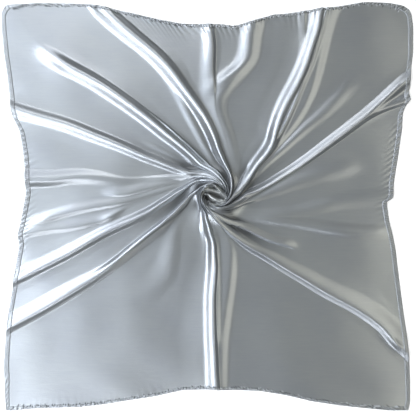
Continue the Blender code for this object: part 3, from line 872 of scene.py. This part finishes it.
# Cloth turned inside the eye: the crest's path, its height over the eye's floor, and its half
# widths to the left and right of the path
PETALS = [
    ([(-24, 23), (-15, 25.5), (-7, 25), (0, 21), (7, 14), (13, 6), (21, 0)], 13.0, 7, 3.5),
    ([(-20, 12), (-9, 12), (3, 8.5), (13, 4), (22, -2)], 10.5, 6, 5.5),
    ([(-15, 3), (-8, -1), (0, -6), (8, -9), (15, -9)], 7.5, 4, 9),
    ([(2, -11), (12, -12.5), (20, -9), (25, -2)], 8.5, 3.5, 3),
    ([(-11, -16), (0, -19), (12, -18), (22, -12)], 9.5, 3.5, 5),
    ([(-27, 2), (-25, 9), (-20, 15), (-13, 17)], 9.5, 5, 4),
]
PETAL_ROUND = 0.6
PETAL_SOFT = 0.2
PETAL_JOIN = 4
EYE_FLOOR = 0.0140

# The hole beside the petals: its centre, its half width and half height, and its depth
EYE_HOLE = (-18.5, -4.0, 4.5, 8.0, 6.0)

# The twist's oval grid in millimetres: points a side, its half size, its two stretches, where it
# ends, and the ring outside which it stays under a slope down to the cloth
GRID_SIZE = 109
GRID_HALF = 27.0
GRID_STRETCH = (1.08, 0.94)
GRID_END = 25.5
SLOPE_START = 22.0
SLOPE_TOP = 0.0270
SLOPE_FALL = 0.0010

# The height under which painted shade darkens the twist's deep parts, the drop over which it does,
# and the darkest
TWIST_LIGHT = 0.0215
TWIST_SHADE = 0.0085
TWIST_PAINTED_SHADE_MOST = 0.93


def petal_rise(x, y, path, height, left, right):
    best = np.full(x.shape, 1e9)
    share = np.full(x.shape, 1.0)
    for (x1, y1), (x2, y2) in zip(path, path[1:]):
        length = math.hypot(x2 - x1, y2 - y1)
        ux, uy = (x2 - x1) / length, (y2 - y1) / length
        along = np.clip((x - x1) * ux + (y - y1) * uy, 0.0, length)
        away = np.hypot(x - x1 - along * ux, y - y1 - along * uy)
        side = ux * (y - y1) - uy * (x - x1)
        wide = np.where(side > 0, left, right)
        share = np.where(away < best, away / wide, share)
        best = np.minimum(away, best)
    share = np.minimum(share, 1.0)
    soft = PETAL_SOFT * (1.0 + np.cos(math.pi * share))
    return height * (PETAL_ROUND * np.sqrt(1.0 - share ** 2) + soft)


def build_twist(material):
    line = np.linspace(-GRID_HALF, GRID_HALF, GRID_SIZE)
    x, y = np.meshgrid(line, line)
    total = np.zeros_like(x)
    for path, height, left, right in PETALS:
        total += petal_rise(x, y, path, height, left, right) ** PETAL_JOIN
    hole_x, hole_y, wide, tall, depth = EYE_HOLE
    hole = depth * np.exp(-(((x - hole_x) / wide) ** 2 + ((y - hole_y) / tall) ** 2))
    z = EYE_FLOOR + (total ** (1.0 / PETAL_JOIN) - hole) / 1000.0
    radius = np.hypot(x / GRID_STRETCH[0], y / GRID_STRETCH[1])
    slope = SLOPE_TOP - SLOPE_FALL * (radius - SLOPE_START)
    z = np.where(radius > SLOPE_START, np.minimum(z, slope), z)
    points = np.stack([x / 1000.0, y / 1000.0, z], axis=-1).reshape(-1, 3)
    faces = []
    for row in range(GRID_SIZE - 1):
        for step in range(GRID_SIZE - 1):
            if radius[row:row + 2, step:step + 2].max() < GRID_END:
                a = row * GRID_SIZE + step
                faces.append((a, a + 1, a + GRID_SIZE + 1, a + GRID_SIZE))
    # painted shade: the twist's low parts darkened
    painted_shade = np.clip((TWIST_LIGHT - z.reshape(-1)) / TWIST_SHADE, 0.0, TWIST_PAINTED_SHADE_MOST)
    used = sorted({v for face in faces for v in face})
    order = {v: k for k, v in enumerate(used)}
    faces = [tuple(order[v] for v in face) for face in faces]
    return make_piece("scarf_twist", points[used], faces, material, ["twist"],
                      painted_shade[used])


def new_material(name, values):
    made = bpy.data.materials.new(name)
    made.use_nodes = True
    shader = made.node_tree.nodes["Principled BSDF"]
    for socket, value in values.items():
        shader.inputs[socket].default_value = value
    return made, made.node_tree, shader


def add_node(tree, kind, links=(), **values):
    node = tree.nodes.new(kind)
    for key, value in values.items():
        if key in node.inputs:
            node.inputs[key].default_value = value
        else:
            setattr(node, key, value)
    for socket, source in links:
        tree.links.new(source, node.inputs[socket])
    return node


def scaled_place(tree, scale):
    place = add_node(tree, "ShaderNodeTexCoord")
    return add_node(tree, "ShaderNodeMapping", [("Vector", place.outputs["Object"])],
                    Scale=scale).outputs["Vector"]


def noise(tree, scale, **values):
    return add_node(tree, "ShaderNodeTexNoise", [("Vector", scaled_place(tree, scale))],
                    Scale=1.0, **values).outputs["Fac"]


def map_range(tree, value, **limits):
    return add_node(tree, "ShaderNodeMapRange", [("Value", value)], **limits).outputs["Result"]


def mix_colors(tree, factor, first, second):
    # From the first colour, which may be another node's output, to the second.
    node = add_node(tree, "ShaderNodeMix", [("Factor", factor)], data_type="RGBA")
    if isinstance(first, tuple):
        node.inputs[6].default_value = (*first, 1.0)
    else:
        tree.links.new(first, node.inputs[6])
    node.inputs[7].default_value = (*second, 1.0)
    return node.outputs[2]


def bump(tree, height, distance, under=()):
    return add_node(tree, "ShaderNodeBump", [("Height", height), *under],
                    Strength=1.0, Distance=distance).outputs["Normal"]


def scaled(color, *shares):
    return tuple(share * part for share, part in zip(shares, color))


# Satin: its shine, how its roughness changes, the shares of its colour where it is cool, warm
# and in painted shade deep between folds, and its weave's relief in metres. Thread: painted shade
# between its plies.
SATIN_SHINE = {
    "Metallic": 0.75,
    "Specular IOR Level": 0.5,
    "Sheen Weight": 0.1,
    "Anisotropic": 0.45,
}
ROUGHNESS_CHANGE = 0.03
COOL = (0.94, 0.94, 0.97)
WARM = (1.06, 1.06, 1.03)
PAINTED_SHADE_SHARES = (0.16, 0.16, 0.16)
WEAVE_RELIEF = 0.000012
PLY_PAINTED_SHADE = (0.7, 0.7, 0.7)
PLY_RELIEF = 0.00005


def satin(name, color, roughness, ripple, ripple_scale):
    made, tree, shader = new_material(name, SATIN_SHINE)
    tangent = add_node(tree, "ShaderNodeTangent", direction_type="UV_MAP", uv_map="weave")
    tree.links.new(tangent.outputs["Tangent"], shader.inputs["Tangent"])

    # colour: faint clouds and streaks along the threads, and painted shade deep between folds
    clouds = noise(tree, (7.0, 9.0, 7.0), Detail=3.0, Roughness=0.6)
    streaks = noise(tree, (22.0, 420.0, 22.0), Detail=2.0, Roughness=0.6)
    both = add_node(tree, "ShaderNodeMath", [(0, clouds), (1, streaks)], operation="ADD")
    tone = map_range(tree, both.outputs["Value"], **{"From Min": 0.6, "From Max": 1.4})
    plain = mix_colors(tree, tone, scaled(color, *COOL), scaled(color, *WARM))
    # painted shade: the mesh's attribute darkens the base colour in valleys, hem grooves and the
    # twist's depths
    painted_shade_mask = add_node(tree, "ShaderNodeAttribute", attribute_name="painted_shade")
    shade = mix_colors(tree, painted_shade_mask.outputs["Fac"], plain, scaled(color, *PAINTED_SHADE_SHARES))
    tree.links.new(shade, shader.inputs["Base Color"])

    # roughness: the same clouds
    gloss = map_range(tree, clouds, **{"To Min": roughness - ROUGHNESS_CHANGE,
                                       "To Max": roughness + ROUGHNESS_CHANGE})
    tree.links.new(gloss, shader.inputs["Roughness"])

    # relief: fine soft wrinkles over the satin's warp floats
    floats = add_node(tree, "ShaderNodeTexWave", [("Vector", scaled_place(tree, (1.0, 0.35, 1.0)))],
                      wave_type="BANDS", bands_direction="DIAGONAL", wave_profile="SIN",
                      Scale=700.0, Distortion=1.5, Detail=1.0)
    creases = noise(tree, ripple_scale, Detail=5.0, Roughness=0.65, Distortion=0.4)
    weave = bump(tree, floats.outputs["Fac"], WEAVE_RELIEF)
    relief = bump(tree, creases, ripple, [("Normal", weave)])
    tree.links.new(relief, shader.inputs["Normal"])
    return made


def thread(name, color):
    # Twisted sewing thread, with painted shade in the grooves between its plies.
    made, tree, shader = new_material(name, {"Roughness": 0.45, "Sheen Weight": 0.2})
    plies = add_node(tree, "ShaderNodeTexWave", [("Vector", scaled_place(tree, (1.0, 1.0, 1.0)))],
                     bands_direction="DIAGONAL", Scale=2200.0, Distortion=0.6).outputs["Fac"]
    plain = mix_colors(tree, plies, scaled(color, *PLY_PAINTED_SHADE), color)
    tree.links.new(plain, shader.inputs["Base Color"])
    tree.links.new(bump(tree, plies, PLY_RELIEF), shader.inputs["Normal"])
    return made


# Name, colour, roughness, the wrinkles' relief in metres and their three scales
cloth_look = satin("satin_cloth", (0.46, 0.48, 0.50), 0.30, 0.0003, (26.0, 70.0, 30.0))
hem_look = satin("satin_hem", (0.46, 0.48, 0.50), 0.38, 0.00045, (230.0, 230.0, 230.0))
twist_look = satin("satin_twist", (0.46, 0.47, 0.46), 0.30, 0.0002, (60.0, 60.0, 60.0))
# Stitch threads: the near-black one is painted shadow between the whip stitches
thread_painted_shadow = thread("hem_thread_painted_shadow", (0.10, 0.11, 0.11))
# the near-white thread is a painted glint on the whip stitches
thread_painted_glint = thread("edge_thread_painted_glint", (0.86, 0.88, 0.92))
pale_thread = thread("seam_thread", (0.60, 0.62, 0.65))

cloth = build_cloth(cloth_look)
twist = build_twist(twist_look)
hems = [build_hem(name, hem_look) for name in HEMS]
# The narrow hems get a row of near-black thread as painted shadow and a row of near-white thread as
# painted glint
sewing = [build_stitches(name, 0, thread_painted_shadow if name in NARROW_HEMS else pale_thread)
          for name in HEMS]
sewing += [build_stitches(name, 1, thread_painted_glint) for name in NARROW_HEMS]

FLOOR_HALF = 40.0
FLOOR_SHINE = {
    "Base Color": (0.93, 0.93, 0.93, 1.0),
    "Roughness": 0.9,
    "Specular IOR Level": 0.0,
    "Emission Color": (1.0, 1.0, 1.0, 1.0),
    "Emission Strength": 0.5,
}
WALL_RADIUS = 38.0
WALL_SIDES = 48
WALL_FOOT = -0.5
WALL_TOP = 60.0
WALL_SHINE = {
    "Base Color": (0.4, 0.4, 0.4, 1.0),
    "Emission Color": (1.0, 1.0, 1.0, 1.0),
    "Emission Strength": 0.56,
}


def build_set(name, points, faces, look, shine):
    mesh = bpy.data.meshes.new(name)
    mesh.from_pydata(points, [], faces)
    mesh.materials.append(new_material(look, shine)[0])
    return add_object(name, mesh)


def build_backdrop():
    # A plain wall far behind, seen by low cameras only.
    turns = [2.0 * math.pi * step / WALL_SIDES for step in range(WALL_SIDES)]
    points = [(WALL_RADIUS * math.cos(turn), WALL_RADIUS * math.sin(turn), height)
              for height in (WALL_FOOT, WALL_TOP) for turn in turns]
    wall = build_set("backdrop", points, ring_faces(2, WALL_SIDES), "pale_wall", WALL_SHINE)
    wall.visible_diffuse = False
    wall.visible_glossy = False


def build_floor():
    points = [(-FLOOR_HALF, -FLOOR_HALF, 0), (FLOOR_HALF, -FLOOR_HALF, 0),
              (FLOOR_HALF, FLOOR_HALF, 0), (-FLOOR_HALF, FLOOR_HALF, 0)]
    floor = build_set("floor", points, [(0, 1, 2, 3)], "pale_floor", FLOOR_SHINE)


build_backdrop()
build_floor()

# Soft lights: a name, a place, what it points at, its two sizes, its power and colour, and the
# direction of its first size, or None for level
LIGHTS = [
    ("key", (-1.20, -0.10, 1.38), (0.0, 0.0, 0.0), (3.0, 0.42), 28.0, (0.85, 0.91, 1.0), None),
    ("key_side", (-0.85, 1.35, 1.20), (0.0, 0.0, 0.0), (1.6, 0.6), 5.5, (0.87, 0.92, 1.0), None),
    ("key_low", (-0.26, -1.22, 1.25), (0.15, -0.18, 0.0), (1.1, 0.30), 6.0, (0.90, 0.94, 1.0),
     (0.82, -0.57, 0.0)),
    ("key_upper", (-0.15, 1.07, 1.20), (0.15, 0.12, 0.0), (0.9, 0.25), 3.2, (0.95, 0.97, 1.0),
     (0.83, 0.56, 0.0)),
    ("key_high", (-1.20, 0.10, 2.30), (0.0, 0.0, 0.0), (2.2, 1.0), 8.0, (0.82, 0.90, 1.0), None),
    ("key_mid", (-0.50, 0.05, 2.50), (-0.2, 0.0, 0.0), (2.2, 0.6), 2.0, (0.86, 0.92, 1.0), None),
    ("fill", (1.05, -0.10, 1.40), (0.0, 0.0, 0.0), (3.0, 0.5), 5.6, (1.0, 0.97, 0.83), None),
    ("above", (0.25, 0.15, 2.60), (0.0, 0.0, 0.0), (2.4, 2.2), 2.9, (0.97, 1.0, 0.90), None),
]
WORLD_COLOR = (0.95, 1.0, 1.0, 1.0)
WORLD_STRENGTH = 0.07


def build_light(name, place, aim, sizes, power, color, along):
    data = bpy.data.lights.new(name, "AREA")
    data.shape = "RECTANGLE"
    data.size, data.size_y = sizes
    data.energy = power
    data.color = color
    light = add_object(name, data)
    light.location = place
    light.rotation_mode = "QUATERNION"
    away = (Vector(place) - Vector(aim)).normalized()
    if along is None:
        light.rotation_quaternion = away.to_track_quat("Z", "Y")
    else:
        side = Vector(along) - away * away.dot(Vector(along))
        side.normalize()
        turned = Matrix((side, away.cross(side), away)).transposed()
        light.rotation_quaternion = turned.to_quaternion()


for row in LIGHTS:
    build_light(*row)

world = bpy.data.worlds.new("studio")
bpy.context.scene.world = world
world.use_nodes = True
world.node_tree.nodes["Background"].inputs["Color"].default_value = WORLD_COLOR
world.node_tree.nodes["Background"].inputs["Strength"].default_value = WORLD_STRENGTH

# The camera looks straight down; its place from the twist and the width it sees fit the photo
SENSOR_WIDTH = 36.0
CAMERA_HEIGHT = 1.65
FRAME_WIDTH = 0.882
CAMERA_LEFT = 0.0148
CAMERA_BELOW = 0.0212
camera_data = bpy.data.cameras.new("camera")
camera_data.lens = SENSOR_WIDTH * CAMERA_HEIGHT / FRAME_WIDTH
camera = add_object("camera", camera_data)
camera.location = (TWIST_X - CAMERA_LEFT, TWIST_Y - CAMERA_BELOW, CAMERA_HEIGHT)
camera.rotation_euler = (0.0, 0.0, 0.0)
bpy.context.scene.camera = camera
bpy.context.scene.view_settings.view_transform = "Standard"
